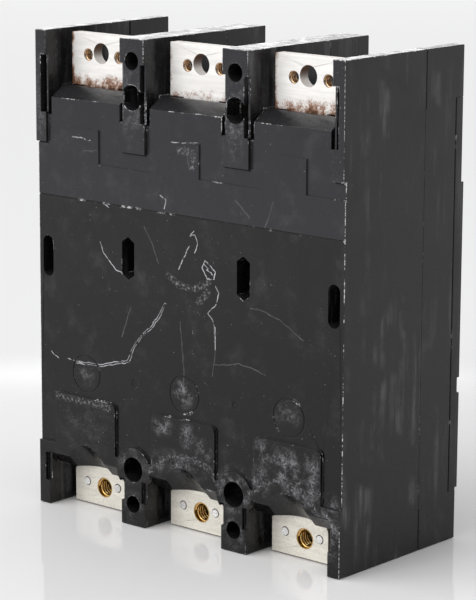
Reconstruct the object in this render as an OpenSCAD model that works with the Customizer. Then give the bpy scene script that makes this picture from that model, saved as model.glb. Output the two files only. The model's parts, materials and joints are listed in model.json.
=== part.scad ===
// Three-pole molded case breaker.
// X runs across the poles, Y from the front to the mounting face, Z from the load end up to the line end.
// The origin is the centre of the four mounting holes, on the mounting face.

/* [Case] */
// Width over the side walls
case_w = 208; // [200:1:250]
// Height from the load end to the line end
case_h = 257; // [250:1:310]
// Depth of the base, from the mounting face to the seam
base_depth = 64.3; // [62:0.1:75]
// Depth of the cover, from the seam to the front of its end walls
cover_depth = 31.2; // [30:0.1:38]
// Distance between two neighbouring poles
pole_pitch = 69.85; // [66:0.05:80]
// Thickness of a side wall
side_wall = 7.4; // [6:0.1:9]
// Thickness of a pole barrier between two terminal pockets
barrier_w = 16.6; // [15:0.1:19]
// Thickness of a pole barrier inside the case
inner_wall = 5; // [4:0.1:7]
// Thickness of the back panel
back_wall = 7.5; // [6:0.1:9]
// How far the back panel lies inside the mounting face
panel_sink = 1.7; // [1:0.1:2.4]
// Thickness of the wall at each end of the inner chamber
end_wall = 8; // [7:0.1:10]
// Height of the chamber's load end wall above the load end
load_end = 22; // [20:0.1:26]
// Distance of the chamber's line end wall below the line end
line_end = 29.5; // [27:0.1:34]

/* [Mounting and cover screws] */
// Radius of a mounting hole
mount_r = 4.6; // [3.5:0.1:5]
// Distance of a mounting hole from its end of the case
mount_inset = 11.5; // [10:0.1:14]
// Radius of a cover screw well in the back
well_r = 6.6; // [6:0.1:7]
// Depth of a cover screw well
well_depth = 26; // [18:0.5:32]
// Distance of a cover screw from its end of the case
screw_inset = 30.3; // [28:0.1:34]
// Radius of a cover screw's shank
screw_r = 3; // [2.5:0.1:3.5]
// Radius of a cover screw's head
head_r = 5.5; // [4.5:0.1:5.8]

/* [Terminals] */
// Thickness of a line or load conductor
bar_t = 6.4; // [5:0.1:8]
// Depth of the line terminals behind the mounting face
line_sink = 14.2; // [13:0.1:16]
// Depth of the load terminals behind the mounting face
load_sink = 14.9; // [13:0.1:16]
// Radius of the clear hole in a line terminal
line_hole_r = 5.4; // [4.5:0.1:6]
// Radius of a tapped hole in a line terminal
tap_r = 3.2; // [2:0.1:3.6]
// Outside radius of a load terminal insert
insert_r = 5.4; // [5:0.1:6]
// Thread radius of a load terminal insert
insert_thread_r = 4.9; // [3:0.1:5]
// Width of a conductor inside the case
neck_w = 24; // [18:0.5:30]

/* [Front] */
// Height of the accessory cover's lower edge above the load end
front_low = 26; // [24:0.1:30]
// Distance of the accessory cover's upper edge below the line end
front_high = 26.3; // [24:0.1:30]
// Depth of the accessory cover's skirt
skirt_t = 6.1; // [5:0.1:8]
// How far the raised panel stands proud
raise_t = 3.2; // [2:0.1:4]
// Thickness of the cover's front wall
front_wall = 3.4; // [3:0.1:4]
// Height of the raised panel
raise_h = 160.5; // [150:0.5:170]
// Radius of the finger notch in the raised panel's edges
notch_r = 4; // [3:0.1:6]

/* [Mechanism] */
// Throw of the handle from OFF to ON, in degrees
throw = 42; // [36:1:46]
// Opening angle of the contact arms, in degrees
open_angle = 22; // [18:1:24]
// Length of each toggle link between its pins
link_l = 16; // [16:0.05:16.4]
// Radius from the crossbar's axis to the lower link pins
crank_r = 18; // [17:0.1:19]
// Radius of the crossbar's journals
crossbar_r = 7; // [6:0.1:7.5]
// Running clearance of a shaft in its bearing
run_gap = 0.06; // [0.03:0.01:0.1]
// Clearance between pieces that pass each other
gap = 0.3; // [0.2:0.05:0.4]

/* [Hidden] */
$fn = 64;

half_w = case_w / 2;
poles = [-pole_pitch, 0, pole_pitch];
barriers = [-pole_pitch / 2, pole_pitch / 2];
barrier_half = barrier_w / 2;
inner_half = inner_wall / 2;
sides = [-1, 1];
eps = 0.01;
cut = 1;

// Planes, all as places along Y or Z
seam = -base_depth;
front = -base_depth - cover_depth;
cover_face = front + skirt_t;
cover_inner = cover_face + front_wall;
raised = front - raise_t;
back_inner = -panel_sink - back_wall;
shelf = case_h - line_end;
front_top = case_h - front_high;
raise_top = front_low + 0.5 + raise_h;
line_face = -line_sink;
line_front = line_face - bar_t;
load_face = -load_sink;
load_front = load_face - bar_t;
thick_low = screw_inset + 11;
thick_high = case_h - screw_inset - 11;

// Back face details
rail_low = case_h - 59;
pad_top = case_h - 43.3;
block_low = case_h - 13;
shank_half = 5.9;
rail_half = 8.9;
groove_depth = 12;
lip_back = 2;
lip_t = 1.3;
field_t = 0.9;
tongue_half = 9.6;
tongue_top = case_h - 49.8;
tongue_low = case_h - 67.8;
parting_z = case_h - 87.5;
foot_h = 12.9;
wall_foot_h = 35;
shoe_step = 4.8;
shoe_top = 63.4;
shoe_corner = 3.5;
band_top = 35;
lip_z = 29.6;
lip_y = -7.5;
boss_r = 12;
insert_z = 10.7;
rivet_places = [[12.8, 12.2], [-9.7, 12.2]];
rivet_r = 2;
line_t = 0.7;
scoop_r = 19;
scoop_slant = 43;
scoop_top = 37.3;

// Mechanism: the crossbar's axis, the toggle's pivots and the knee, as [y, z]
arm_t = 7;
arm_half = 4;
tip_t = 3;
contact_low = 59;
contact_high = 71;
arm_top = 72;
arm_tail = -16;
o_axis = [cover_inner + 50.9, 112];
arm_back = line_front - 2 * tip_t - gap - arm_t - o_axis.x;
u_axis = [o_axis.x - 31.8, o_axis.y + 19];

function crank(turn) = o_axis + crank_r * [-sin(turn), cos(turn)];
function knee(turn) =
    let (c = crank(turn), d = c - u_axis, n = norm(d), rise = sqrt(link_l * link_l - n * n / 4))
    (c + u_axis) / 2 + rise * [-d.y, d.x] / n;

crank_off = crank(open_angle);
knee_off = knee(open_angle);
knee_on = knee(0);
knee_move = knee_on - knee_off;
h_axis = (knee_on + knee_off) / 2
    + norm(knee_move) / 2 / tan(throw / 2) * [knee_move.y, -knee_move.x] / norm(knee_move);
handle_off = throw / 2;
p_axis = o_axis + [-20.9, -8];
nose_axis = [h_axis.x - 14, h_axis.y - 36];
latch_axis = [cover_inner + 4.5, 87];
trip_axis = [cover_inner + 16, 76];
plate_x = 19;
plate_t = 2;
yoke_x = 16;
yoke_t = 2;
cradle_x = 13;
cradle_t = 2;
upper_x = 9.5;
lower_x = 6.9;
link_t = 1.8;
pin_r = 2;
knee_slot = 1.4;
guard_r = h_axis.x - front - 1.3;
guard_t = 2.4;
yoke_r = 21;
lever_r = h_axis.x - raised + 22;
lever_half = 10;
lever_t = 12;
frame_t = 1.5;
label_t = 0.6;
win = (h_axis.x - raised + frame_t) * tan(throw / 2) + lever_t / 2 / cos(throw / 2) + 0.8;
guard_half = asin(win / guard_r) + throw / 2 + 2;
plate_back = line_face + 1.2;
spacer_places = [[plate_back - 4.5, 104], [plate_back - 4.5, 140]];
accessory_places = [for (s = sides) for (z = [44, front_top - 18.7]) [s * (half_w - 16), z]];
pocket_half = pole_pitch / 2 - barrier_half;
slot_x = [39.4, half_w - 6.4];
slot_depth = 18;
slot_floor = slot_depth + 2.5;
screw_heights = [screw_inset, case_h - screw_inset];
mount_heights = [mount_inset, case_h - mount_inset];

// Trip unit
leg_z = 44;
leg_t = 6;
armature_axis = [trip_axis.x + 12, 74];
armature_t = 2;
magnet_back = armature_axis.x + 17;
magnet_front = armature_axis.x + 4;
strip_y = armature_axis.x + 13;
strip_t = 2;
leg_end = strip_y - 2;
trip_shaft_r = 4;
button_z = 61;
stem_r = 2;
tab_face = trip_axis.x - 5.5;
cap_r = 5;
button_aside = 4.85;
dial_z = 50;
dial_r = 8;
dial_shaft_r = 3;
button_x = pole_pitch - dial_r - cap_r - button_aside;

// A box between two places on each axis
module block(x, y, z) {
    translate([min(x), min(y), min(z)])
        cube([abs(x[1] - x[0]), abs(y[1] - y[0]), abs(z[1] - z[0])]);
}

// A box across two equal halves about a centre along X
module plate(centre, half, y, z) {
    block([centre - half, centre + half], y, z);
}

// A cylinder along X through a [y, z] place
module rod(place, r, x) {
    translate([min(x), place.x, place.y])
        rotate([0, 90, 0])
            cylinder(r = r, h = abs(x[1] - x[0]));
}

// A cylinder along Y through an x, z place
module bore(x, z, r, y) {
    translate([x, max(y), z])
        rotate([90, 0, 0])
            cylinder(r = r, h = abs(y[1] - y[0]));
}

// A [y, z] outline drawn along X
module across(x, outline) {
    translate([min(x), 0, 0])
        rotate([90, 0, 90])
            linear_extrude(abs(x[1] - x[0]))
                polygon(outline);
}

// An [x, z] outline drawn along Y
module deep(y, outline) {
    translate([0, max(y), 0])
        rotate([90, 0, 0])
            linear_extrude(abs(y[1] - y[0]))
                polygon(outline);
}

// Turns its children about an axis along X
module turn_about(place, angle) {
    translate([0, place.x, place.y])
        rotate([angle, 0, 0])
            translate([0, -place.x, -place.y])
                children();
}

// Everything is drawn up from the load end, then set about the mounting pattern
module placed() {
    translate([0, 0, -case_h / 2])
        children();
}

// ---- Moulded case ----

// The side walls and barriers that both halves share
module case_walls(y) {
    for (s = sides)
        block([s * half_w, s * (half_w - side_wall)], y, [0, case_h]);
    for (x = barriers) {
        plate(x, inner_half, y, [0, case_h]);
        plate(x, barrier_half, y, [0, thick_low]);
        plate(x, barrier_half, y, [thick_high, case_h]);
    }
}

// A raised shoe above a load pocket, rounded at its upper corners
module shoe(x, half, y) {
    plate(x, half, y, [lip_z, shoe_top - shoe_corner]);
    plate(x, half - shoe_corner, y, [lip_z, shoe_top]);
    for (s = sides)
        bore(x + s * (half - shoe_corner), shoe_top - shoe_corner, shoe_corner, y);
}

// Raised rails, feet, shoes and bosses on the mounting face
module back_relief() {
    relief = [0, -panel_sink - field_t - eps];
    for (s = sides) {
        block([s * half_w, s * (half_w - side_wall)], relief, [rail_low, case_h]);
        block([s * half_w, s * (half_w - side_wall)], relief, [0, wall_foot_h]);
    }
    for (x = barriers) {
        plate(x, rail_half, relief, [rail_low, pad_top]);
        plate(x, barrier_half, relief, [pad_top, case_h]);
        plate(x, barrier_half, relief, [0, lip_z]);
        bore(x, screw_inset, boss_r, relief);
    }
    for (x = poles)
        shoe(x, pocket_half - shoe_step, relief);
    plate(0, half_w - side_wall, relief, [lip_z, band_top]);
}

// Grooves for the insulating strips beside each line pocket
module strip_grooves() {
    reach = barrier_half - shank_half;
    for (x = barriers)
        for (s = sides) {
            block([x + s * shank_half, x + s * (barrier_half - lip_t)], [cut, -groove_depth],
                  [pad_top, block_low]);
            block([x + s * shank_half, x + s * (barrier_half + cut)], [cut, -lip_back],
                  [pad_top, block_low]);
            block([x + s * barrier_half, x + s * (barrier_half + reach)], [cut, -groove_depth],
                  [pad_top - 1, shelf + cut]);
            block([x + s * shank_half, x + s * (barrier_half + cut)], [cut, -lip_back],
                  [foot_h, lip_z - 5]);
        }
    for (s = sides) {
        wall = half_w - side_wall;
        block([s * (wall + lip_t), s * (wall + lip_t + reach)], [cut, -groove_depth], [pad_top, block_low]);
        block([s * wall - s * cut, s * (wall + lip_t + reach)], [cut, -lip_back], [pad_top, block_low]);
        block([s * (wall - reach), s * wall], [cut, -groove_depth], [pad_top - 1, shelf + cut]);
        block([s * wall - s * cut, s * (wall + 3)], [cut, -lip_back], [foot_h, lip_z - 1]);
    }
}

// The scooped relief above each load terminal, a slanted cylinder kept between the barriers
module load_scoops() {
    drop = scoop_r / sin(scoop_slant);
    intersection() {
        for (x = poles)
            translate([x, 0, scoop_top - drop])
                rotate([-scoop_slant, 0, 0])
                    translate([0, 0, -case_h / 4])
                        cylinder(r = scoop_r, h = case_h / 2);
        for (x = poles)
            plate(x, pole_pitch / 2 - barrier_half, [cut, load_face], [-cut, shoe_top]);
    }
}

// Long pockets in the back panel, pointed between the poles and round at the sides
module back_slots() {
    for (s = sides) {
        x = s * slot_x[0];
        deep([cut, -slot_depth], [
            [x - 4.3, 134], [x, 131.2], [x + 4.3, 134], [x + 4.3, 151], [x, 153.8], [x - 4.3, 151],
        ]);
        xs = s * slot_x[1];
        block([xs - 3.7, xs + 3.7], [cut, -slot_depth], [129.4, 143.8]);
        for (z = [129.4, 143.8])
            bore(xs, z, 3.7, [cut, -slot_depth]);
    }
}

// Round witness marks left by the mould
module mould_marks() {
    depth = [0, -panel_sink - 0.6];
    for (x = poles)
        difference() {
            bore(x, 76.3, 10.4, depth);
            bore(x, 76.3, 9.5, [cut, -panel_sink - 1]);
        }
    for (x = barriers)
        bore(x, 76.6, 2.4, depth);
}

// Fine lines under the raised rails, where the mould inserts met
module rail_lines() {
    for (x = barriers)
        plate(x, rail_half, [cut, -panel_sink - line_t], [rail_low - line_t, rail_low]);
    for (s = sides)
        block([s * (half_w - side_wall), s * (half_w + cut)], [cut, -panel_sink - line_t],
              [rail_low - line_t, rail_low]);
}

// Shallow slanting fields above and between the tongues
module slanted_fields() {
    top = case_h + cut;
    for (x = poles) {
        low = x - tongue_half;
        next = x - pole_pitch + tongue_half;
        translate([0, 0, tongue_low])
            linear_extrude(top - tongue_low)
                polygon([[low, cut], [low, -panel_sink - field_t], [next, -panel_sink + eps], [next, cut]]);
        translate([0, 0, tongue_top])
            linear_extrude(top - tongue_top)
                polygon([
                    [low - eps, cut], [low - eps, -panel_sink - field_t], [low, -panel_sink - field_t],
                    [x + tongue_half, -panel_sink + eps], [x + tongue_half, cut],
                ]);
    }
}

module base_shell() {
    difference() {
        union() {
            case_walls([-panel_sink, seam]);
            block([-half_w + 1, half_w - 1], [-panel_sink, back_inner], [lip_z, case_h - 35]);
            // Line end wall with its sloping shelf
            across([-half_w + 1, half_w - 1], [
                [-panel_sink, case_h - 45], [-panel_sink, case_h - 35.4], [-10.3, shelf], [seam, shelf],
                [seam, shelf - end_wall], [back_inner + 1, shelf - end_wall], [back_inner + 1, case_h - 45],
            ]);
        }
        slanted_fields();
    }
    // Load end wall with its lip
    across([-half_w + 1, half_w - 1], [
        [-panel_sink, lip_z + 1], [-panel_sink, lip_z - 1], [lip_y, load_end], [seam, load_end],
        [seam, load_end + end_wall], [back_inner + 1, load_end + end_wall], [back_inner + 1, lip_z + 1],
    ]);
    back_relief();
    // Blocks behind the long pockets
    for (s = sides) {
        block([s * (slot_x[0] - 6.6), s * (slot_x[0] + 6.6)], [back_inner + 1, -slot_floor], [126, 159]);
        block([s * (slot_x[1] - 6), s * (half_w - 1)], [back_inner + 1, -slot_floor], [122, 151]);
    }
    // Ledges that carry the conductors
    for (x = poles) {
        plate(x, neck_w / 2, [back_inner + 1, line_face], [o_axis.y + 56, shelf - end_wall + 1]);
        plate(x, neck_w / 2, [back_inner + 1, load_face], [load_end + end_wall - 1, leg_z]);
    }
    // Lands under the mechanism's side plates
    for (s = sides)
        plate(s * (plate_x + plate_t / 2), 5, [back_inner + 1, plate_back], [96, 148]);
}

module base() {
    color([0.17, 0.17, 0.18]) placed() difference() {
        base_shell();
        strip_grooves();
        load_scoops();
        back_slots();
        mould_marks();
        rail_lines();
        for (x = barriers) {
            for (z = mount_heights)
                bore(x, z, mount_r, [cut, seam - cut]);
            for (z = screw_heights) {
                bore(x, z, well_r, [cut, -well_depth]);
                bore(x, z, screw_r + gap, [cut, seam - cut]);
            }
        }
        // Passages for the conductors
        for (x = poles) {
            plate(x, neck_w / 2 + 0.1, [line_face, line_front - 0.1],
                  [shelf - end_wall - cut, shelf + cut]);
            plate(x, neck_w / 2 + 0.1, [load_face, load_front - 0.1],
                  [load_end - cut, load_end + end_wall + cut]);
        }
        // Notches for the crossbar, open to the seam
        for (x = barriers) {
            rod(o_axis, crossbar_r + 1.2, [x - inner_half - cut, x + inner_half + cut]);
            block([x - inner_half - cut, x + inner_half + cut], [o_axis.x, seam - cut],
                  [o_axis.y - crossbar_r - 1.2, o_axis.y + crossbar_r + 1.2]);
        }
        // Parting line between the two mould inserts
        block([-half_w - cut, half_w + cut], [cut, -panel_sink - 0.35],
              [parting_z - 0.25, parting_z + 0.25]);
    }
}

module cover() {
    color([0.18, 0.17, 0.17]) placed() difference() {
        union() {
            for (s = sides) {
                block([s * half_w, s * (half_w - side_wall)], [seam, cover_face], [0, case_h]);
                block([s * half_w, s * (half_w - side_wall)], [seam, front], [0, front_low]);
                block([s * half_w, s * (half_w - side_wall)], [seam, front], [front_top, case_h]);
            }
            for (x = barriers) {
                plate(x, inner_half, [seam, cover_face], [front_low, front_top]);
                plate(x, barrier_half, [seam, cover_face], [0, thick_low]);
                plate(x, barrier_half, [seam, cover_face], [thick_high, case_h]);
                plate(x, barrier_half, [seam, front], [0, front_low]);
                plate(x, barrier_half, [seam, front], [front_top, case_h]);
            }
            block([-half_w + 1, half_w - 1], [cover_inner, cover_face], [load_end, front_top]);
            block([-half_w + 1, half_w - 1], [seam, cover_face], [load_end, load_end + end_wall]);
            block([-half_w + 1, half_w - 1], [seam, cover_face], [shelf - end_wall, front_top]);
            for (place = accessory_places)
                bore(place.x, place.y, 5, [cover_inner + 8, cover_face]);
        }
        for (x = barriers) {
            for (z = mount_heights) {
                bore(x, z, mount_r, [seam + cut, front - cut]);
                bore(x, z, mount_r + 3, [front + 4, front - cut]);
            }
            for (z = screw_heights) {
                bore(x, z, screw_r + gap, [seam + cut, front - cut]);
                bore(x, z, head_r + 1, [cover_face, front - cut]);
            }
            // Bearings of the trip bar, open to the seam
            rod(trip_axis, trip_shaft_r + run_gap, [x - inner_half - cut, x + inner_half + cut]);
            block([x - inner_half - cut, x + inner_half + cut], [trip_axis.x, seam + cut],
                  [trip_axis.y - trip_shaft_r - run_gap, trip_axis.y + trip_shaft_r + run_gap]);
        }
        // Line of the seam, all round each wall
        for (s = sides)
            difference() {
                block([s * (half_w + cut), s * (half_w - side_wall - cut)], [seam + cut, seam - line_t],
                      [-cut, case_h + cut]);
                block([s * (half_w - line_t), s * (half_w - side_wall + line_t)], [seam + cut, seam - cut],
                      [line_t, case_h - line_t]);
                block([s * half_w, s * (half_w - side_wall - 2)], [seam + 2, seam - 2], [load_end, shelf]);
            }
        // Window for the handle
        plate(0, lever_half + 5, [seam, cover_face - cut], [h_axis.y - 35, h_axis.y + 35]);
        for (x = poles)
            bore(x, dial_z, dial_shaft_r + run_gap, [seam, cover_face - cut]);
        bore(button_x, button_z, stem_r + run_gap, [seam, cover_face - cut]);
        for (place = accessory_places)
            bore(place.x, place.y, 1.9, [cover_inner + 9, cover_face - cut]);
    }
}

module accessory_cover() {
    color([0.19, 0.19, 0.2]) placed() difference() {
        union() {
            block([-half_w, half_w], [cover_face, front], [front_low, front_top]);
            block([-half_w + 1, half_w - 1], [front, raised], [front_low + 0.5, raise_top]);
            // Low frame round the handle window
            plate(0, lever_half + 7, [raised, raised - frame_t], [h_axis.y - win - 6, h_axis.y + win + 6]);
        }
        difference() {
            block([-half_w + 5, half_w - 5], [cover_face + cut, front], [front_low + 15.5, raise_top - 4]);
            for (x = poles)
                bore(x, dial_z, 7, [cover_face, front - cut]);
            for (place = accessory_places)
                bore(place.x, place.y, 5, [cover_face, front - cut]);
        }
        block([-half_w + 5, half_w - 5], [cover_face + cut, front + 2.4], [raise_top - 5, thick_high - 1]);
        plate(0, lever_half + 0.7, [front + cut, raised - 3], [h_axis.y - win, h_axis.y + win]);
        for (s = sides)
            bore(s * (half_w - 1), 81, notch_r, [front, raised - cut]);
        for (place = accessory_places) {
            bore(place.x, place.y, 2.4, [cover_face + cut, raised - cut]);
            bore(place.x, place.y, 5, [front + 1, raised - cut]);
        }
        // A fine line all the way down each side, where the plate meets the cover
        for (s = sides)
            block([s * (half_w + cut), s * (half_w - line_t)], [cover_face + cut, cover_face - line_t],
                  [front_low - cut, front_top + cut]);
        // Notches over the cover screws, open to the upper and lower edge
        for (x = barriers) {
            for (z = screw_heights)
                bore(x, z, head_r + 1, [cover_face + cut, raised - cut]);
            plate(x, head_r + 1, [cover_face + cut, raised - cut], [front_low - cut, screw_inset]);
            plate(x, head_r + 1, [cover_face + cut, raised - cut], [case_h - screw_inset, front_top + cut]);
        }
        for (x = poles) {
            bore(x, dial_z, dial_shaft_r + run_gap, [cover_face + cut, raised - cut]);
            bore(x, dial_z, dial_r + gap, [raised + 2, raised - cut]);
        }
        bore(button_x, button_z, cap_r + run_gap, [front + cut, raised - cut]);
        // Shallow fields for rating labels, left blank
        for (s = sides)
            plate(s * (half_w - 44), 31, [raised + label_t, raised - cut], [h_axis.y - 30, h_axis.y + 36]);
        // Grooves over the arc chutes
        for (x = poles)
            for (i = [-2 : 2])
                plate(x + i * 5, 1.1, [front + 1.2, front - cut], [raise_top + 7, front_top - 7]);
        // Scale marks round each dial
        for (x = poles)
            for (i = [-4 : 4])
                translate([x, 0, dial_z])
                    rotate([0, i * 32, 0])
                        plate(0, 0.4, [raised + 0.4, raised - cut], [dial_r + 2, dial_r + 4.4]);
        // Plain mark bars for the two ends of the handle's travel
        plate(0, 1, [raised + 0.5, raised - 2.5], [h_axis.y + win + 9, h_axis.y + win + 16]);
        difference() {
            bore(0, h_axis.y - win - 12.5, 3.6, [raised + 0.5, raised - 2.5]);
            bore(0, h_axis.y - win - 12.5, 2.4, [raised + cut, raised - 3]);
        }
    }
}

// ---- Current path ----

module line_conductor(x) {
    color([0.82, 0.8, 0.77]) placed() difference() {
        union() {
            block([x - pocket_half + 4, x + pocket_half - 5.5], [line_face, line_front],
                  [shelf + gap, case_h - 1.6]);
            plate(x, neck_w / 2, [line_face, line_front], [o_axis.y + 56, shelf + 1]);
        }
        bore(x, case_h - 11.6, line_hole_r, [line_face + cut, line_front - cut]);
        for (place = [9.3, -12.6])
            bore(x + place, case_h - 12.9, tap_r, [line_face + cut, line_front - cut]);
    }
}

module load_conductor(x) {
    corner = 6;
    low = x - pocket_half + 11.4;
    high = x + pocket_half - 5;
    color([0.9, 0.88, 0.82]) placed() difference() {
        union() {
            block([low, high], [load_face, load_front], [0.4, load_end - gap - corner]);
            block([low + corner, high - 1], [load_face, load_front], [0.4, load_end - gap]);
            block([low + corner, high], [load_face, load_front], [0.4, load_end - gap - 3]);
            bore(low + corner, load_end - gap - corner, corner, [load_face, load_front]);
            plate(x, neck_w / 2, [load_face, load_front], [1, leg_z]);
            plate(x, neck_w / 2, [load_face, leg_end], [leg_z, leg_z + leg_t]);
        }
        bore(x, insert_z, insert_r, [load_face + cut, load_front - cut]);
        for (place = rivet_places)
            bore(x + place.x, place.y, rivet_r + 0.4, [load_face + cut, load_front - cut]);
    }
}

module load_inserts() {
    color([0.72, 0.55, 0.28]) placed() for (x = poles)
        difference() {
            union() {
                bore(x, insert_z, insert_r, [load_face - 0.2, load_front]);
                bore(x, insert_z, insert_r + 0.9, [load_front, load_front - 4]);
            }
            bore(x, insert_z, insert_thread_r, [load_face + cut, load_front - 4 - cut]);
        }
}

module load_rivets() {
    color([0.85, 0.85, 0.83]) placed() for (x = poles)
        for (place = rivet_places) {
            bore(x + place.x, place.y, rivet_r, [load_face + 0.25, load_front - 1.2]);
            bore(x + place.x, place.y, rivet_r + 1.2, [load_front, load_front - 1.4]);
        }
}

module fixed_contacts() {
    color([0.85, 0.85, 0.86]) placed() for (x = poles)
        plate(x, 5.5, [line_front, line_front - tip_t], [o_axis.y + contact_low, o_axis.y + contact_high]);
}

// Places a piece of the contact arm at its open, resting angle
module opened() {
    turn_about(o_axis, open_angle) children();
}

module contact_arm(x) {
    color([0.72, 0.45, 0.3]) placed() opened()
        plate(x, arm_half, [o_axis.x + arm_back, o_axis.x + arm_back + arm_t],
              [o_axis.y + arm_tail, o_axis.y + arm_top]);
}

module moving_contacts() {
    y = o_axis.x + arm_back + arm_t;
    color([0.85, 0.85, 0.86]) placed() opened() for (x = poles)
        plate(x, arm_half, [y, y + tip_t], [o_axis.y + contact_low + 1, o_axis.y + contact_high - 1]);
}

module crossbar() {
    cheek = 2;
    color([0.25, 0.2, 0.17]) placed() opened() difference() {
        union() {
            rod(o_axis, crossbar_r, [-pole_pitch - 20, pole_pitch + 20]);
            for (x = poles) {
                rod(o_axis, crossbar_r + 2.5, [x - 10, x + 10]);
                plate(x, arm_half + cheek, [o_axis.x - 7, o_axis.x + arm_back + arm_t],
                      [o_axis.y, o_axis.y + crank_r + 5]);
            }
        }
        for (x = poles)
            plate(x, arm_half, [o_axis.x + arm_back, o_axis.x + arm_back + arm_t + crossbar_r],
                  [o_axis.y - 30, o_axis.y + 40]);
    }
}

module crossbar_pins() {
    pin = crank(0);
    color([0.7, 0.7, 0.72]) placed() opened() for (s = sides)
        rod(pin, pin_r, [s * (arm_half + 2), s * (lower_x + link_t + 0.4)]);
}

module arc_plates(x) {
    count = 8;
    color([0.6, 0.6, 0.62]) placed() for (i = [0 : count - 1])
        difference() {
            plate(x, 15.5, [line_front - 6.4 - i * 4.4, line_front - 8 - i * 4.4], [172, 212]);
            plate(x, 6, [line_front - 5.4, line_front - 43.4], [170, 188]);
            bore(x, 188, 6, [line_front - 5.4, line_front - 43.4]);
        }
}

module arc_boards() {
    color([0.75, 0.3, 0.22]) placed() for (x = poles)
        for (s = sides)
            block([x + s * 15.5, x + s * 17.5], [line_front - 4.4, line_front - 40.9], [168, 215]);
}

module bimetal(x) {
    color([0.75, 0.72, 0.65]) placed()
        plate(x, 5.5, [strip_y + strip_t / 2, strip_y - strip_t / 2], [leg_z + leg_t, 92]);
}

module shunt(x) {
    rope = 2.6;
    z = 84;
    bend = 5;
    end = o_axis.x + 9.1;
    color([0.72, 0.42, 0.28]) placed() {
        bore(x, z, rope, [end - bend, strip_y + strip_t / 2]);
        translate([x, end - bend, z + bend])
            rotate([0, 90, 0])
                rotate_extrude(angle = 90)
                    translate([bend, 0])
                        circle(r = rope);
        translate([x, end, z + bend])
            cylinder(r = rope, h = 8.3);
    }
}

// ---- Trip unit ----

module magnet(x) {
    leg_top = leg_z + leg_t;
    color([0.45, 0.46, 0.48]) placed() difference() {
        union() {
            plate(x, 13.2, [magnet_back + 3, magnet_back], [leg_top, 72]);
            for (s = sides) {
                block([x + s * 10.9, x + s * 13.2], [magnet_back, magnet_front], [leg_top, 72]);
                block([x + s * 10.9, x + s * 13.2], [magnet_back, armature_axis.x - 4], [66, 79]);
            }
        }
        rod(armature_axis, 1.6 + run_gap, [x - 14, x + 14]);
    }
}

module armature(x) {
    back = armature_axis.x + armature_t / 2;
    face = armature_axis.x - armature_t / 2;
    color([0.55, 0.55, 0.57]) placed() {
        plate(x, 10.4, [back, face], [leg_z + leg_t + 1, armature_axis.y + 2]);
        plate(x, 4, [back, face], [armature_axis.y, armature_axis.y + 14]);
        rod(armature_axis, 1.6, [x - 13.2, x + 13.2]);
    }
}

module trip_bar() {
    reach = pole_pitch + 20;
    color([0.55, 0.12, 0.1]) placed() {
        rod(trip_axis, trip_shaft_r, [-reach, reach]);
        for (x = poles) {
            plate(x, 4, [trip_axis.x + 8, trip_axis.x + 5], [trip_axis.y - 3.5, trip_axis.y + 14]);
            plate(x, 4, [trip_axis.x + 8, trip_axis.x], [trip_axis.y - 3, trip_axis.y + 3]);
        }
        plate(button_x, 4, [trip_axis.x - 3, tab_face], [button_z - 4, trip_axis.y]);
    }
}

module latch() {
    color([0.62, 0.62, 0.64]) placed() difference() {
        union() {
            plate(0, 8, [latch_axis.x - 1.5, latch_axis.x + 1.5], [latch_axis.y - 3, nose_axis.y + 5.8]);
            plate(0, 8, [latch_axis.x - 1.5, nose_axis.x], [nose_axis.y + 3.3, nose_axis.y + 5.8]);
            rod(latch_axis, 3.4, [-8, 8]);
        }
        rod(latch_axis, 1.5 + run_gap, [-9, 9]);
    }
}

module trip_button() {
    color([0.7, 0.1, 0.08]) placed() {
        bore(button_x, button_z, cap_r, [front - 0.3, raised - 1.6]);
        bore(button_x, button_z, stem_r, [tab_face - gap, front - 1]);
        bore(button_x, button_z, stem_r + 1.2, [cover_inner + 0.2, cover_inner + 1.4]);
    }
}

module button_spring() {
    color([0.7, 0.7, 0.72]) placed()
        translate([button_x, cover_face, button_z])
            rotate([90, 0, 0])
                coil(3.8, skirt_t + 0.3, 4);
}

module dial(x) {
    color([0.78, 0.77, 0.72]) placed() difference() {
        union() {
            bore(x, dial_z, dial_r, [raised + 1.9, raised - 0.6]);
            bore(x, dial_z, dial_shaft_r, [cover_inner + 4, raised + 1]);
            bore(x, dial_z, 6, [cover_inner + run_gap, cover_inner + 2.5]);
        }
        plate(x, 1, [raised + 0.8, raised - 2], [dial_z - 5.5, dial_z + 5.5]);
        deep([raised + 0.8, raised - 2], [[x - 2.2, dial_z + 4], [x, dial_z + 7], [x + 2.2, dial_z + 4]]);
    }
}

// ---- Operating mechanism ----

module side_plates() {
    color([0.6, 0.6, 0.6]) placed() difference() {
        for (s = sides)
            across([s * plate_x, s * (plate_x + plate_t)], [
                [plate_back, 97], [plate_back, 147], [o_axis.x - 9.9, 150],
                h_axis + [-4, 9], h_axis + [-8, 4],
                latch_axis + [-1, 6], latch_axis + [-4, 2], latch_axis + [-4, -4.5],
                [p_axis.x - 4, latch_axis.y - 4.5], o_axis + [-8.9, -17],
            ]);
        rod(o_axis, crossbar_r + run_gap, [-30, 30]);
        rod(h_axis, pin_r + run_gap, [-30, 30]);
        rod(p_axis, 2.5, [-30, 30]);
        rod(latch_axis, 1.5, [-30, 30]);
        for (place = spacer_places)
            rod(place, 2, [-30, 30]);
    }
}

// Latch pin and the spacers that tie the side plates together
module frame_pins() {
    color([0.72, 0.72, 0.74]) placed() {
        rod(latch_axis, 1.5, [-plate_x - plate_t, plate_x + plate_t]);
        for (place = spacer_places) {
            rod(place, 2, [-plate_x - plate_t, plate_x + plate_t]);
            rod(place, 3.5, [-plate_x, plate_x]);
        }
    }
}

module cradle_pin() {
    color([0.72, 0.72, 0.74]) placed()
        rod(p_axis, 2.5, [-plate_x - plate_t, plate_x + plate_t]);
}

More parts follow.
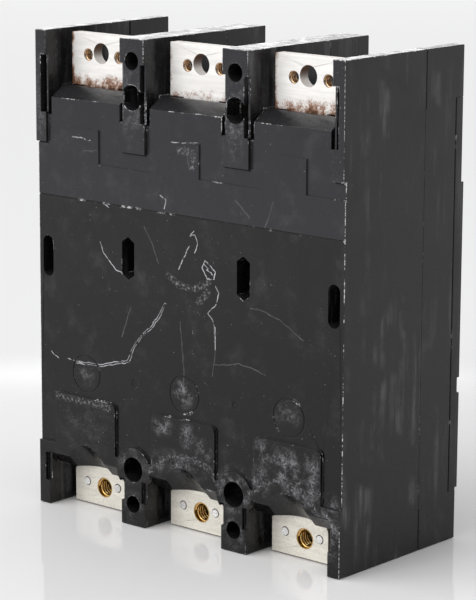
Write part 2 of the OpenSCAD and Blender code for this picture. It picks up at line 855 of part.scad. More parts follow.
module cradle() {
    cheek = [cradle_x, cradle_x + cradle_t];
    color([0.5, 0.5, 0.52]) placed() {
        for (s = sides) {
            difference() {
                union() {
                    rod(u_axis, 3.6, s * cheek);
                    rod(p_axis, 5, s * cheek);
                    rod(p_axis, 3.6, s * [cradle_x + cradle_t, plate_x]);
                    across(s * cheek, [
                        u_axis + [-3.4, -1], u_axis + [3.4, 1], p_axis + [4.6, 1.5], p_axis + [3, -4],
                        nose_axis + [1, -3], nose_axis + [-3, 0], nose_axis + [-2, 3], p_axis + [-5, 3],
                    ]);
                }
                rod(p_axis, 2.5, s * [cradle_x - 1, plate_x + 1]);
            }
            rod(u_axis, pin_r, s * [upper_x - 0.4, cradle_x + 0.5]);
        }
        rod(nose_axis, 3, [-cradle_x - 0.5, cradle_x + 0.5]);
    }
}

// A pair of flat links between two [y, z] places, mirrored across the middle pole
module link_pair(a, b, near, r, hole_a, hole_b) {
    along = (b - a) / norm(b - a);
    side = [-along.y, along.x];
    for (s = sides)
        difference() {
            union() {
                rod(a, r, s * [near, near + link_t]);
                rod(b, r, s * [near, near + link_t]);
                across(s * [near, near + link_t], [a + side * r, b + side * r, b - side * r, a - side * r]);
            }
            rod(a, hole_a, s * [near - 1, near + link_t + 1]);
            rod(b, hole_b, s * [near - 1, near + link_t + 1]);
        }
}

module upper_links() {
    color([0.66, 0.66, 0.68]) placed()
        link_pair(u_axis, knee_off, upper_x, 3.8, pin_r + run_gap, pin_r);
}

module knee_pin() {
    color([0.75, 0.75, 0.77]) placed()
        rod(knee_off, pin_r, [-upper_x - link_t, upper_x + link_t]);
}

module lower_links() {
    color([0.66, 0.66, 0.68]) placed()
        link_pair(crank_off, knee_off, lower_x, 4.6, pin_r + run_gap, pin_r + knee_slot);
}

// Handle pieces are drawn pointing straight to the front, then turned down to OFF
module at_off() {
    turn_about(h_axis, handle_off) children();
}

module handle() {
    outer = guard_r;
    inner = guard_r - guard_t;
    root = yoke_r + yoke_t;
    color([0.12, 0.12, 0.13]) placed() at_off() {
        // Curved guard that closes the window at every angle
        difference() {
            rod(h_axis, outer, [-lever_half - 2, lever_half + 2]);
            rod(h_axis, inner, [-lever_half - 4, lever_half + 4]);
            across([-20, 20], [
                h_axis, h_axis + 60 * [-cos(guard_half), sin(guard_half)], h_axis + [60, 60],
                h_axis + [60, -60], h_axis + 60 * [-cos(guard_half), -sin(guard_half)],
            ]);
        }
        plate(0, lever_half, [h_axis.x - root, h_axis.x - inner - 0.5],
              [h_axis.y - lever_t / 2, h_axis.y + lever_t / 2]);
        difference() {
            across([-lever_half, lever_half], [
                h_axis + [-outer + 0.5, lever_t / 2], h_axis + [-lever_r + 1, lever_t / 2 - 1],
                h_axis + [-lever_r, lever_t / 2 - 2], h_axis + [-lever_r, -lever_t / 2 + 2],
                h_axis + [-lever_r + 1, -lever_t / 2 + 1], h_axis + [-outer + 0.5, -lever_t / 2],
            ]);
            for (s = sides)
                for (i = [0 : 3])
                    rod(h_axis + [-lever_r + 3 + i * 2.4, s * (lever_t / 2 + 0.1)], 0.7, [-20, 20]);
        }
    }
}

module handle_yoke() {
    leg = [yoke_x, yoke_x + yoke_t];
    color([0.58, 0.58, 0.6]) placed() at_off() {
        for (s = sides) {
            rod(h_axis, 4.5, s * leg);
            rod(h_axis, pin_r, s * [yoke_x, plate_x + plate_t]);
            block(s * leg, [h_axis.x, h_axis.x - yoke_r - yoke_t], [h_axis.y - 4.5, h_axis.y + 4.5]);
        }
        block([-yoke_x, yoke_x], [h_axis.x - yoke_r, h_axis.x - yoke_r - yoke_t],
              [h_axis.y - 4.5, h_axis.y + 4.5]);
        rod(h_axis + [-yoke_r + 1.2, 0], 1.6, [-5.5, 5.5]);
    }
}

// A close-wound spring along +Z, drawn as a ribbed tube
module coil(r, length, coils) {
    pitch = length / coils;
    rotate_extrude()
        polygon(concat(
            [[r - 1.5, 0]],
            [for (i = [0 : coils - 1]) each [
                [r - 0.6, i * pitch], [r, (i + 0.25) * pitch], [r, (i + 0.75) * pitch],
                [r - 0.6, (i + 1) * pitch],
            ]],
            [[r - 1.5, length]]
        ));
}

// Two springs from the yoke to the knee pin
module toggle_springs() {
    hook = h_axis + (yoke_r - 3.3) * [-cos(handle_off), -sin(handle_off)];
    span = knee_off - hook;
    color([0.72, 0.72, 0.74]) placed() for (s = sides)
        translate([s * 3, hook.x, hook.y])
            rotate([-atan2(span.x, span.y), 0, 0])
                coil(2.4, norm(span) - pin_r - 0.4, 14);
}

// ---- Fasteners ----

module cover_screws() {
    color([0.6, 0.6, 0.6]) placed() for (x = barriers)
        for (z = screw_heights)
            difference() {
                union() {
                    bore(x, z, screw_r, [-well_depth + 8, cover_face]);
                    bore(x, z, head_r, [cover_face, cover_face - 4]);
                }
                plate(x, 0.7, [cover_face - 2.2, cover_face - 5], [z - 6, z + 6]);
            }
}

module cover_nuts() {
    color([0.65, 0.55, 0.35]) placed() for (x = barriers)
        for (z = screw_heights)
            difference() {
                bore(x, z, 5.4, [-well_depth + 5, -well_depth], $fn = 6);
                bore(x, z, screw_r, [0, -well_depth - cut]);
            }
}

module accessory_screws() {
    color([0.65, 0.65, 0.66]) placed() for (place = accessory_places)
        difference() {
            union() {
                bore(place.x, place.y, 1.9, [cover_inner + 6, front + 1]);
                bore(place.x, place.y, 4.2, [front + 1, front - 1.4]);
            }
            plate(place.x, 0.6, [front - 0.2, front - 2], [place.y - 5, place.y + 5]);
            plate(place.x, 5, [front - 0.2, front - 2], [place.y - 0.6, place.y + 0.6]);
        }
}

base();
cover();
accessory_cover();
line_conductor(poles[0]);  // line_conductor_left
line_conductor(poles[1]);  // line_conductor_middle
line_conductor(poles[2]);  // line_conductor_right
load_conductor(poles[0]);  // load_conductor_left
load_conductor(poles[1]);  // load_conductor_middle
load_conductor(poles[2]);  // load_conductor_right
load_inserts();
load_rivets();
fixed_contacts();
contact_arm(poles[0]);  // contact_arm_left
contact_arm(poles[1]);  // contact_arm_middle
contact_arm(poles[2]);  // contact_arm_right
moving_contacts();
crossbar();
crossbar_pins();
arc_plates(poles[0]);  // arc_plates_left
arc_plates(poles[1]);  // arc_plates_middle
arc_plates(poles[2]);  // arc_plates_right
arc_boards();
side_plates();
frame_pins();
cradle();
cradle_pin();
handle();
handle_yoke();
toggle_springs();
upper_links();
knee_pin();
lower_links();
latch();
trip_bar();
trip_button();
button_spring();
magnet(poles[0]);  // magnet_left
magnet(poles[1]);  // magnet_middle
magnet(poles[2]);  // magnet_right
armature(poles[0]);  // armature_left
armature(poles[1]);  // armature_middle
armature(poles[2]);  // armature_right
bimetal(poles[0]);  // bimetal_left
bimetal(poles[1]);  // bimetal_middle
bimetal(poles[2]);  // bimetal_right
shunt(poles[0]);  // shunt_left
shunt(poles[1]);  // shunt_middle
shunt(poles[2]);  // shunt_right
dial(poles[0]);  // dial_left
dial(poles[1]);  // dial_middle
dial(poles[2]);  // dial_right
cover_screws();
cover_nuts();
accessory_screws();
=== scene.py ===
import json
import math

import bpy
from mathutils import Matrix, Vector

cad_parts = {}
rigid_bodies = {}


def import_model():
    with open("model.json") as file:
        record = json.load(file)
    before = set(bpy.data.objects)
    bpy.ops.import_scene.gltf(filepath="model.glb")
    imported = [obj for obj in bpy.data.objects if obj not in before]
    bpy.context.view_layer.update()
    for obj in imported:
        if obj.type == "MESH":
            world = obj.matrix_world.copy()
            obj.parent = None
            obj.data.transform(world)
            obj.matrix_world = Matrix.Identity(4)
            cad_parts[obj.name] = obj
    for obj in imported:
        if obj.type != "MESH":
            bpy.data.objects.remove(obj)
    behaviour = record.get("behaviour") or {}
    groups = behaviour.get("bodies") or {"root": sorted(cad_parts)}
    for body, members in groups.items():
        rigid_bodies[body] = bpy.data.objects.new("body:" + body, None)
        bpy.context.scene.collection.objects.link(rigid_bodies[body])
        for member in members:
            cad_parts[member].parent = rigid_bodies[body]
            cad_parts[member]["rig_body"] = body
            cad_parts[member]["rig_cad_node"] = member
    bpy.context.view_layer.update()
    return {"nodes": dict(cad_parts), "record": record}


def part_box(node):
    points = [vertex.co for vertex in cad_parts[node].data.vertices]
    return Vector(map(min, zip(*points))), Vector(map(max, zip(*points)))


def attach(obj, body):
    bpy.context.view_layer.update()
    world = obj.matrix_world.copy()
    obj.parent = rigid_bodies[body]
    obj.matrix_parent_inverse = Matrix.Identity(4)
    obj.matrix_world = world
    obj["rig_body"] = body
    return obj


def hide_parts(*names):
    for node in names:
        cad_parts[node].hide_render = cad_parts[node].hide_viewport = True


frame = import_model()
nodes = frame["nodes"]
MM = 0.001
case_low, case_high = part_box("base")
bar_low, bar_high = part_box("line_conductor_middle")
pole_names = ["left", "middle", "right"]
pole_x = {name: sum(c.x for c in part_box("magnet_" + name)) / 2 for name in pole_names}
pole_pitch = pole_x["right"] - pole_x["middle"]

# ---- Camera, floor and light ----


def look(position, yaw, pitch, roll):
    """A camera's matrix from where it stands and its three angles, in degrees."""
    a, e, r = (math.radians(angle) for angle in (yaw, pitch, roll))
    back = Vector((math.sin(a) * math.cos(e), -math.cos(a) * math.cos(e), math.sin(e)))
    right = Vector((0, 0, 1)).cross(back).normalized()
    up = back.cross(right)
    turned_right = math.cos(r) * right + math.sin(r) * up
    turned_up = back.cross(turned_right)
    turn = Matrix((turned_right, turned_up, back)).transposed().to_4x4()
    return Matrix.Translation(position) @ turn


CAMERA_PLACE = Vector((-0.8753, 0.9675, 0.2739))
CAMERA_ANGLES = {"yaw": 220.89, "pitch": 11.94, "roll": 0.26}
CAMERA_LENS = 157.2

camera = bpy.data.objects.new("camera", bpy.data.cameras.new("camera"))
bpy.context.scene.collection.objects.link(camera)
camera.matrix_world = look(CAMERA_PLACE, **CAMERA_ANGLES)
camera.data.lens = CAMERA_LENS
camera.data.clip_end = 50
bpy.context.scene.camera = camera
bpy.context.scene.view_settings.view_transform = "Standard"


class Paint:
    """One node-based material, with short calls for the nodes that it is built from."""

    def __init__(self, name, **shader):
        self.material = bpy.data.materials.new(name)
        self.material.use_nodes = True
        self.tree = self.material.node_tree
        self.shader = self.tree.nodes["Principled BSDF"]
        for socket, value in shader.items():
            self.shader.inputs[socket.replace("_", " ")].default_value = value
        self.place = self.node("ShaderNodeTexCoord").outputs["Object"]

    def node(self, kind, **settings):
        """A new node with some of its properties set."""
        made = self.tree.nodes.new(kind)
        for name, value in settings.items():
            setattr(made, name, value)
        return made

    def feed(self, socket, value):
        """Links an output to a socket, or sets the socket to a constant."""
        if isinstance(value, bpy.types.NodeSocket):
            self.tree.links.new(value, socket)
        else:
            socket.default_value = value

    def math(self, operation, *values):
        made = self.node("ShaderNodeMath", operation=operation)
        for socket, value in zip(made.inputs, values):
            self.feed(socket, value)
        return made.outputs[0]

    def vector(self, operation, *values):
        made = self.node("ShaderNodeVectorMath", operation=operation)
        for socket, value in zip(made.inputs, values):
            self.feed(socket, value)
        return made.outputs["Value" if operation in ("DOT_PRODUCT", "LENGTH") else "Vector"]

    def stretched(self, scale):
        """The place on the object, scaled on each axis. A small scale draws a pattern out along its axis."""
        made = self.node("ShaderNodeMapping")
        self.feed(made.inputs["Vector"], self.place)
        made.inputs["Scale"].default_value = scale
        return made.outputs[0]

    def noise(self, size_mm, detail=3.0, roughness=0.6, vector=None):
        """Cloudy noise between 0 and 1, with patches of about the given size."""
        made = self.node("ShaderNodeTexNoise")
        self.feed(made.inputs["Vector"], vector or self.place)
        made.inputs["Scale"].default_value = 1 / (size_mm * MM)
        made.inputs["Detail"].default_value = detail
        made.inputs["Roughness"].default_value = roughness
        return made.outputs["Fac"]

    def step(self, value, low, high, to_low=0.0, to_high=1.0):
        """A smooth change from to_low to to_high as the value goes from low to high."""
        made = self.node("ShaderNodeMapRange", interpolation_type="SMOOTHSTEP")
        for socket, number in zip(made.inputs, (value, low, high, to_low, to_high)):
            self.feed(socket, number)
        return made.outputs[0]

    def mix(self, factor, low, high):
        """The color low where the factor is 0, and high where it is 1."""
        made = self.node("ShaderNodeMix", data_type="RGBA")
        self.feed(made.inputs[0], factor)
        for socket, value in ((made.inputs[6], low), (made.inputs[7], high)):
            if isinstance(value, tuple):
                value = (*value, 1.0)
            self.feed(socket, value)
        return made.outputs[2]

    def split(self, vector):
        made = self.node("ShaderNodeSeparateXYZ")
        self.feed(made.inputs[0], vector)
        return made.outputs

    def axes(self):
        """The place on the object along each axis."""
        return self.split(self.place)

    def facing(self):
        """How far the surface faces along each axis."""
        return self.split(self.node("ShaderNodeNewGeometry").outputs["True Normal"])

    def color(self, value):
        self.feed(self.shader.inputs["Base Color"], value)

    def roughness(self, value):
        self.feed(self.shader.inputs["Roughness"], value)

    def bump(self, height, depth_mm, strength):
        """Adds a fine relief to the ones that are there."""
        made = self.node("ShaderNodeBump")
        made.inputs["Strength"].default_value = strength
        made.inputs["Distance"].default_value = depth_mm * MM
        self.feed(made.inputs["Height"], height)
        before = self.shader.inputs["Normal"]
        if before.is_linked:
            self.feed(made.inputs["Normal"], before.links[0].from_socket)
        self.feed(before, made.outputs[0])


def hang(light):
    """An object in the scene for a lamp."""
    lamp = bpy.data.objects.new(light.name, light)
    bpy.context.scene.collection.objects.link(lamp)
    return lamp


def soft_light(name, place, target, size, energy):
    """A flat rectangular lamp that stands at a place and faces a target."""
    light = bpy.data.lights.new(name, "AREA")
    light.shape = "RECTANGLE"
    light.size, light.size_y = size
    light.energy = energy
    lamp = hang(light)
    lamp.location = place
    lamp.rotation_euler = (Vector(target) - Vector(place)).to_track_quat("-Z", "Y").to_euler()
    return lamp


def clear_selection():
    for picked in list(bpy.context.selected_objects):
        picked.select_set(False)


def far_from_object(paint, near, far):
    """0 on the table nearer than one distance from the object, and 1 beyond the other."""
    flat = paint.vector("MULTIPLY", paint.place, (1, 1, 0))
    return paint.step(paint.vector("LENGTH", flat), near, far)


TABLE_RADIUS = 9
TABLE_GAP = 0.0002
# The table's sheen gives way to matt paper between these distances from the object
SHEEN_END = 0.27
PAPER_START = 0.45

clear_selection()
bpy.ops.mesh.primitive_circle_add(
    vertices=128, radius=TABLE_RADIUS, fill_type="NGON", location=(0, 0, case_low.z - TABLE_GAP)
)
bpy.ops.object.transform_apply(location=True)
floor = bpy.context.active_object
floor.name = "floor"
table = Paint("white_table", IOR=1.25, Roughness=0.05)
table.color((0.78, 0.775, 0.78, 1))
matt = table.node("ShaderNodeBsdfDiffuse")
matt.inputs["Color"].default_value = (0.755, 0.755, 0.755, 1)
joined = table.node("ShaderNodeMixShader")
table.feed(joined.inputs[0], far_from_object(table, SHEEN_END, PAPER_START))
table.feed(joined.inputs[1], table.shader.outputs[0])
table.feed(joined.inputs[2], matt.outputs[0])
table.feed(table.tree.nodes["Material Output"].inputs["Surface"], joined.outputs[0])
floor.data.materials.append(table.material)

world = bpy.data.worlds.new("studio")
bpy.context.scene.world = world
world.use_nodes = True
background = world.node_tree.nodes["Background"]
background.inputs["Color"].default_value = (0.995, 0.995, 1, 1)
background.inputs["Strength"].default_value = 0.78
soft_light("back_fill", place=(0.1, 1.5, 0.9), target=(0, 0, 0), size=(0.8, 0.8), energy=8)
# A low strip far off on the front side of the case, which shows only as a sheen on the tops of the walls
strip = soft_light("far_strip", place=(3.3, -3.75, 0.62), target=(0, 0, 0.1), size=(4.5, 0.75), energy=27)
strip.visible_camera = False
sky = bpy.data.lights.new("ceiling", "SUN")
sky.energy = 1.2
sky.angle = math.radians(50)
hang(sky).rotation_euler = Vector((0.45, 0.5, 0.75)).to_track_quat("Z", "Y").to_euler()

# ---- Moulded plastic ----

CHALK = (0.42, 0.42, 0.44)
RUBBED = (0.13, 0.128, 0.13)
MOULDED_IOR = 1.385
# How far below the line end the back turns a little paler, painted light standing in for the lighter shading
# of the upper back
PAINTED_LIGHT_BACK_DROP = (88 * MM, 87 * MM)
# How deep behind the mounting face the marks of the back fade out
MARKED_DEPTH = (-5 * MM, -4 * MM)
# Half the distance between the two lines of a twin score
TWIN_HALF = 0.55 * MM
# How far a scored line wanders to each side, and how often along its way
WANDER = 2.2 * MM
WANDER_RATE = 220


def scratch_lines(paint, lines):
    """The distance from the nearest of some broken lines on the back, each a list of x, z places in mm."""
    flat = paint.vector("MULTIPLY", paint.place, (1, 0, 1))
    wander = paint.node("ShaderNodeTexNoise")
    paint.feed(wander.inputs["Vector"], paint.place)
    wander.inputs["Scale"].default_value = WANDER_RATE
    shift = paint.vector("SUBTRACT", wander.outputs["Color"], (0.5, 0.5, 0.5))
    flat = paint.vector("ADD", flat, paint.vector("MULTIPLY", shift, (WANDER, 0, WANDER)))
    nearest = 1.0
    for line in lines:
        for start, end in zip(line, line[1:]):
            a = Vector((start[0], 0, start[1])) * MM
            run = Vector((end[0], 0, end[1])) * MM - a
            away = paint.vector("SUBTRACT", flat, tuple(a))
            along = paint.vector("DOT_PRODUCT", away, tuple(run / run.length_squared))
            along = paint.math("MINIMUM", paint.math("MAXIMUM", along, 0.0), 1.0)
            on_line = paint.node("ShaderNodeVectorMath", operation="SCALE")
            on_line.inputs[0].default_value = tuple(run)
            paint.feed(on_line.inputs["Scale"], along)
            gap = paint.vector("LENGTH", paint.vector("SUBTRACT", away, on_line.outputs[0]))
            nearest = paint.math("MINIMUM", nearest, gap)
    return nearest


def patch(paint, middle, half):
    """1 around a place on the back, given in mm as x and z, fading to 0 at half its width and height away."""
    away = paint.vector("SUBTRACT", paint.place, (middle[0] * MM, 0, middle[1] * MM))
    away = paint.vector("MULTIPLY", away, (1 / (half[0] * MM), 0, 1 / (half[1] * MM)))
    return paint.step(paint.vector("LENGTH", away), 1.0, 0.2)


def scuffed_back(paint, y, fine):
    """Everything that years of handling left on the mounting face, as one mask."""
    scored = scratch_lines(paint, SCORES)
    twin = paint.math("SUBTRACT", scratch_lines(paint, TWIN_SCORES), TWIN_HALF)
    twin = paint.math("ABSOLUTE", twin)
    pressed = paint.step(paint.noise(6, 3), 0.35, 0.65, 0.55, 1.15)
    broken = paint.math("MULTIPLY", paint.step(paint.noise(2.2, 3), 0.36, 0.48), pressed)
    scored = paint.step(scored, 0.36 * MM, 0.12 * MM)
    lines = paint.math("MAXIMUM", scored, paint.step(twin, 0.3 * MM, 0.08 * MM))
    faint = paint.step(scratch_lines(paint, FAINT_SCORES), 0.4 * MM, 0.05 * MM)
    broad = paint.step(scratch_lines(paint, BROAD_RUBS), 2.6 * MM, 0.6 * MM)
    broad = paint.math("MULTIPLY", broad, paint.step(paint.noise(1.6, 4, 0.75), 0.46, 0.66, 0.0, 0.42))
    faint = paint.math("MULTIPLY", paint.math("MULTIPLY", faint, pressed), 0.17)
    marks = paint.math("MAXIMUM", paint.math("MULTIPLY", lines, broken), faint)
    marks = paint.math("MAXIMUM", marks, broad)
    # Chalky clouds where the shoes and bosses rub on a panel
    cloudy = paint.step(paint.noise(7, 4, 0.65), 0.4, 0.7)
    cloudy = paint.math("MULTIPLY", cloudy, paint.step(fine, 0.34, 0.62))
    clouds = None
    for middle, half, strength in CLOUDS:
        cloud = paint.math("MULTIPLY", patch(paint, middle, half), strength)
        clouds = paint.math("MAXIMUM", clouds, cloud) if clouds else cloud
    clouds = paint.math("MULTIPLY", clouds, cloudy)
    # Small bright chips all over, closer together on what stands proud
    proud = paint.step(y, -0.5 * MM, -0.3 * MM, 0.0, 0.05)
    chips = paint.math("ADD", paint.noise(1.0, 2), paint.math("MULTIPLY", paint.noise(22, 2), 0.12))
    chips = paint.step(paint.math("ADD", chips, proud), 0.79, 0.84, 0.0, 0.55)
    haze = paint.step(paint.noise(19, 5, 0.7), 0.5, 0.8, 0.0, 0.05)
    marks = paint.math("MAXIMUM", marks, paint.math("MAXIMUM", clouds, chips))
    return paint.math("MAXIMUM", marks, haze)


def moulded(name, tone, roughness, streaks, back_marks=False):
    """Black moulding, dusty, with a painted sheen growing towards the line end, streaks up its side walls
    and, on the back, the marks of its handling and a paler upper part painted as lighter shading.
    """
    paint = Paint(name, IOR=MOULDED_IOR)
    _, y, z = paint.axes()
    nx, ny, nz = paint.facing()
    cloud = paint.noise(24, 4)
    fine = paint.noise(1.1, 4)
    # Duller and paler towards the line end, a painted sheen that fades towards the bottom, and dustier on
    # what faces up
    height = paint.step(z, case_low.z, case_high.z)
    dust_and_sheen = paint.math("ADD", height, paint.step(nz, 0.3, 0.6, 0.0, 1.2))
    dust_and_sheen = paint.math("MULTIPLY", dust_and_sheen, paint.step(cloud, 0.3, 0.7, 0.75, 1.25))
    color = paint.mix(paint.step(dust_and_sheen, 0, 2), tone, tuple(c * 7 for c in tone))
    # Long rubbed streaks up the side walls
    long = paint.noise(7, 4, vector=paint.stretched((1, 1, 0.09)))
    on_side = paint.step(paint.math("ABSOLUTE", nx), 0.7, 0.9)
    rub = paint.math("MULTIPLY", paint.step(long, 0.46, 0.72), paint.step(paint.noise(34, 3), 0.44, 0.62))
    rub = paint.math("MAXIMUM", rub, paint.step(paint.noise(1.2, 2), 0.71, 0.77, 0.0, 0.8))
    rub = paint.math("MULTIPLY", paint.math("MULTIPLY", rub, on_side), streaks)
    color = paint.mix(rub, color, RUBBED)
    gloss = paint.step(paint.noise(6, 4), 0.3, 0.7, roughness - 0.05, roughness + 0.06)
    if back_marks:
        on_back = paint.math("MULTIPLY", paint.step(ny, 0.6, 0.9), paint.step(y, *MARKED_DEPTH))
        marks = paint.math("MULTIPLY", scuffed_back(paint, y, fine), on_back)
        # Painted light: the upper back is made paler to stand in for its lighter shading
        upper = paint.step(z, case_high.z - PAINTED_LIGHT_BACK_DROP[0], case_high.z - PAINTED_LIGHT_BACK_DROP[1])
        upper = paint.math("MULTIPLY", upper, on_back)
        color = paint.mix(upper, color, (tone[0] * 7.5, tone[1] * 7.5, tone[2] * 8.5))
        color = paint.mix(marks, color, CHALK)
        gloss = paint.math("ADD", gloss, paint.math("MULTIPLY", marks, 0.35))
    paint.color(color)
    paint.roughness(gloss)
    paint.bump(paint.noise(14, 2), 0.10, 0.5)
    paint.bump(fine, 0.012, 0.5)
    return paint.material


# Places of the scored lines on the back, in mm from the middle of the mounting pattern
TWIN_SCORES = [
    [(77, -47), (60, -46), (40, -41), (36, -33), (31, -27), (23, -20), (18, -14), (15, -9), (13, -6)],
]
SCORES = [
    [(96, -44), (91, -47)],
    [(84, -46), (72, -47)],
    [(-21, 8), (-23, 4), (-22, -1), (-16, -7), (-19, -10), (-21, -14), (-21, -25)],
    [(59, 20), (57, 15), (53, 11), (48, 7), (44, 6)],
    [(-3, 26), (4, 13)],
    [(-6, 34), (-4, 31), (-7, 32), (-9, 28), (-7, 23)],
    [(-14, 20), (-12, 16), (-15, 11), (-20, 11), (-21, 15), (-17, 18), (-14, 20)],
    [(-13, 18), (-16, 16), (-15, 15), (-18, 14), (-19, 13)],
    [(58, 41), (53, 39)],
    [(17, 50), (13, 48), (14, 43)],
    [(-43, 41), (-53, 41)],
    [(9, 78), (-8, 79)],
    [(79, 74), (66, 73)],
]
FAINT_SCORES = [
    [(28, 32), (22, 23), (18, 14)],
    [(-53, 41), (-59, 55)],
    [(-34, 53), (-44, 45)],
    [(-44, 0), (-54, -1), (-64, -4), (-79, -12)],
    [(-20, -33), (-38, -30), (-46, -31), (-54, -33)],
    [(-20, -13), (-21, -26), (-19, -39)],
    [(0, 77), (-3, 66)],
    [(72, 67), (62, 68)],
    [(38, -12), (44, -28)],
    [(3, -14), (0, -46)],
]
# Wide dusty rubs
BROAD_RUBS = [
    [(11, 9), (4, 5), (-6, 4), (-16, 9)],
    [(-10, -2), (-16, 4)],
    [(24, -97), (12, -88), (3, -85), (-10, -85), (-20, -88), (-24, -94)],
    [(-45, -96), (-56, -88), (-68, -85), (-80, -88), (-92, -100)],
    [(92, -67), (70, -67), (52, -68)],
    [(4, 74), (-6, 74), (-5, 66)],
]
# Clouded places: the middle and half size, and how strongly each shows
CLOUDS = [
    ((71, -53), (10.5, 10.5), 0.22),
    ((1, -51), (10.5, 10.5), 0.45),
    ((-69, -51), (10.5, 10.5), 0.3),
    ((70, -82), (26, 20), 0.12),
    ((14, -71), (10, 7), 0.6),
    ((-2, -73), (10, 9), 0.5),
    ((-14, -79), (9, 8), 0.35),
    ((4, -90), (26, 10), 0.4),
    ((-57, -72), (12, 10), 0.5),
    ((-70, -78), (12, 13), 0.75),
    ((-80, -88), (16, 10), 0.75),
    ((-86, -76), (8, 14), 0.45),
    ((-52, -88), (10, 12), 0.5),
    ((35, -96), (14, 14), 0.4),
    ((-35, -96), (15, 16), 0.8),
    ((-35, -118), (10, 12), 0.5),
    ((35, -118), (10, 12), 0.3),
    ((-97, -104), (9, 22), 0.7),
    ((35, 96), (10, 32), 0.3),
    ((-35, 96), (10, 32), 0.3),
    ((100, 90), (8, 36), 0.25),
]


# The corners along the side walls that get knocked: how far in from the side, and how deep from the back
CORNER_WIDTH = (2.2 * MM, 1.2 * MM)
CORNER_DEPTH = (-6 * MM, -4 * MM)
# How far below the line end the edges get knocked more
KNOCKED_HEIGHT = (52 * MM, 48 * MM)
EDGE_CHALK = (0.66, 0.66, 0.67)


def worn_edge(name, tone, amount, sides, line_end=0.0):
    """The rounding along a moulding's edges, rubbed pale here and there, most where it gets knocked."""
    paint = Paint(name, IOR=MOULDED_IOR)
    x, y, z = paint.axes()
    out = paint.math("ABSOLUTE", x)
    corner = paint.step(out, case_high.x - CORNER_WIDTH[0], case_high.x - CORNER_WIDTH[1], 0, sides)
    corner = paint.math("MULTIPLY", corner, paint.step(y, *CORNER_DEPTH))
    high = paint.step(z, case_high.z - KNOCKED_HEIGHT[0], case_high.z - KNOCKED_HEIGHT[1], 0, line_end)
    knocked = paint.math("MAXIMUM", corner, high)
    band = paint.math("ADD", paint.noise(15, 4, 0.7), paint.math("MULTIPLY", knocked, 0.16))
    speck = paint.noise(1.3, 3)
    worn = paint.math("MULTIPLY", paint.step(band, 0.56, 0.66), paint.step(speck, 0.42, 0.58))
    paint.color(paint.mix(paint.math("MULTIPLY", worn, amount), tone, EDGE_CHALK))
    paint.roughness(paint.step(worn, 0, 1, 0.35, 0.6))
    paint.bump(paint.noise(0.9, 3), 0.03, 0.5)
    return paint.material


# ---- Metal ----

# Dark brown of the oxide on hole walls and bar edges, also used as painted shade on the faces that look down
HOLE_BROWN_AND_SHADE = (0.20, 0.10, 0.045)
EVEN = (1, 1, 1)


def plated(name, tone, tarnish, low_z=None):
    """Tin plating with rolled lines, browned along the foot and one edge of each bar where low_z is given."""
    paint = Paint(name, Metallic=0.5, IOR=1.8)
    x, _, z = paint.axes()
    _, ny, nz = paint.facing()
    rolled = paint.noise(2.6, 4, 0.65, paint.stretched((0.1, 1, 1)))
    speck = paint.noise(0.9, 4, 0.75)
    blotch = paint.noise(6, 3)
    color = paint.mix(paint.step(rolled, 0.3, 0.7), tuple(c * 0.86 for c in tone), tone)
    if low_z is not None:
        across = paint.math("WRAP", x, pole_pitch / 2, -pole_pitch / 2)
        foot = paint.step(z, low_z + 14 * MM, low_z - 3 * MM)
        edge = paint.step(across, bar_high.x - 5 * MM, bar_high.x + 1 * MM)
        inner = paint.step(x, pole_pitch * 0.45, pole_pitch * 0.55, 0.62, 1.0)
        outer = paint.step(x, -pole_pitch * 0.45, -pole_pitch * 0.55, 0.0, 0.3)
        share = paint.math("ADD", inner, outer)
        share = paint.math("ADD", share, paint.step(blotch, 0.35, 0.65, -0.2, 0.2))
        brown = paint.math("MULTIPLY", paint.math("MAXIMUM", foot, edge), share)
        stain = paint.math("ADD", paint.math("MULTIPLY", brown, 0.5), paint.math("MULTIPLY", speck, 0.5))
        stain = paint.math("ADD", stain, paint.math("MULTIPLY", blotch, 0.14))
        color = paint.mix(paint.step(stain, 0.52, 0.80), color, tarnish)
        color = paint.mix(paint.step(stain, 0.72, 0.86), color, tuple(c * 0.3 for c in tarnish))
    else:
        color = paint.mix(paint.math("MULTIPLY", paint.step(speck, 0.5, 0.72), 0.5), color, tarnish)
    # Brown oxide on the faces across the bar and in its holes, with painted shade darkening the faces that
    # look down the most
    in_hole = paint.step(paint.math("ABSOLUTE", ny), 0.6, 0.3)
    above = paint.step(nz, 0.6, -0.6, 0.25, 0.95)
    color = paint.mix(paint.math("MULTIPLY", in_hole, above), color, HOLE_BROWN_AND_SHADE)
    paint.color(color)
    paint.roughness(paint.step(speck, 0.3, 0.7, 0.36, 0.56))
    paint.bump(rolled, 0.03, 0.4)
    paint.bump(speck, 0.03, 0.5)
    return paint.material


def metal(name, tone, roughness, grain=EVEN, spots=None, metallic=1.0):
    """Drawn or turned metal, with spots of another tone where they are given."""
    paint = Paint(name, Metallic=metallic)
    drawn = paint.noise(1.6, 4, 0.7, paint.stretched(grain))
    wide = paint.noise(11, 3)
    color = paint.mix(paint.step(wide, 0.3, 0.7), tuple(c * 0.72 for c in tone), tone)
    if spots:
        color = paint.mix(paint.step(paint.noise(4, 5, 0.75), 0.55, 0.68), color, spots)
    paint.color(color)
    paint.roughness(paint.step(drawn, 0.3, 0.7, roughness - 0.08, roughness + 0.14))
    paint.bump(drawn, 0.02, 0.5)
    return paint.material


def plain_moulding(name, tone, roughness=0.45):
    """Clean moulding with a faint mottle."""
    paint = Paint(name, IOR=1.5)
    paint.color(paint.mix(paint.step(paint.noise(7, 4), 0.3, 0.7), tuple(c * 0.8 for c in tone), tone))
    paint.roughness(paint.step(paint.noise(2.5, 3), 0.3, 0.7, roughness - 0.08, roughness + 0.1))
    paint.bump(paint.noise(0.7, 3), 0.03, 0.5)
    return paint.material


# The part of a line bar that shows above the shelf
BAR_SHOWN = 27 * MM

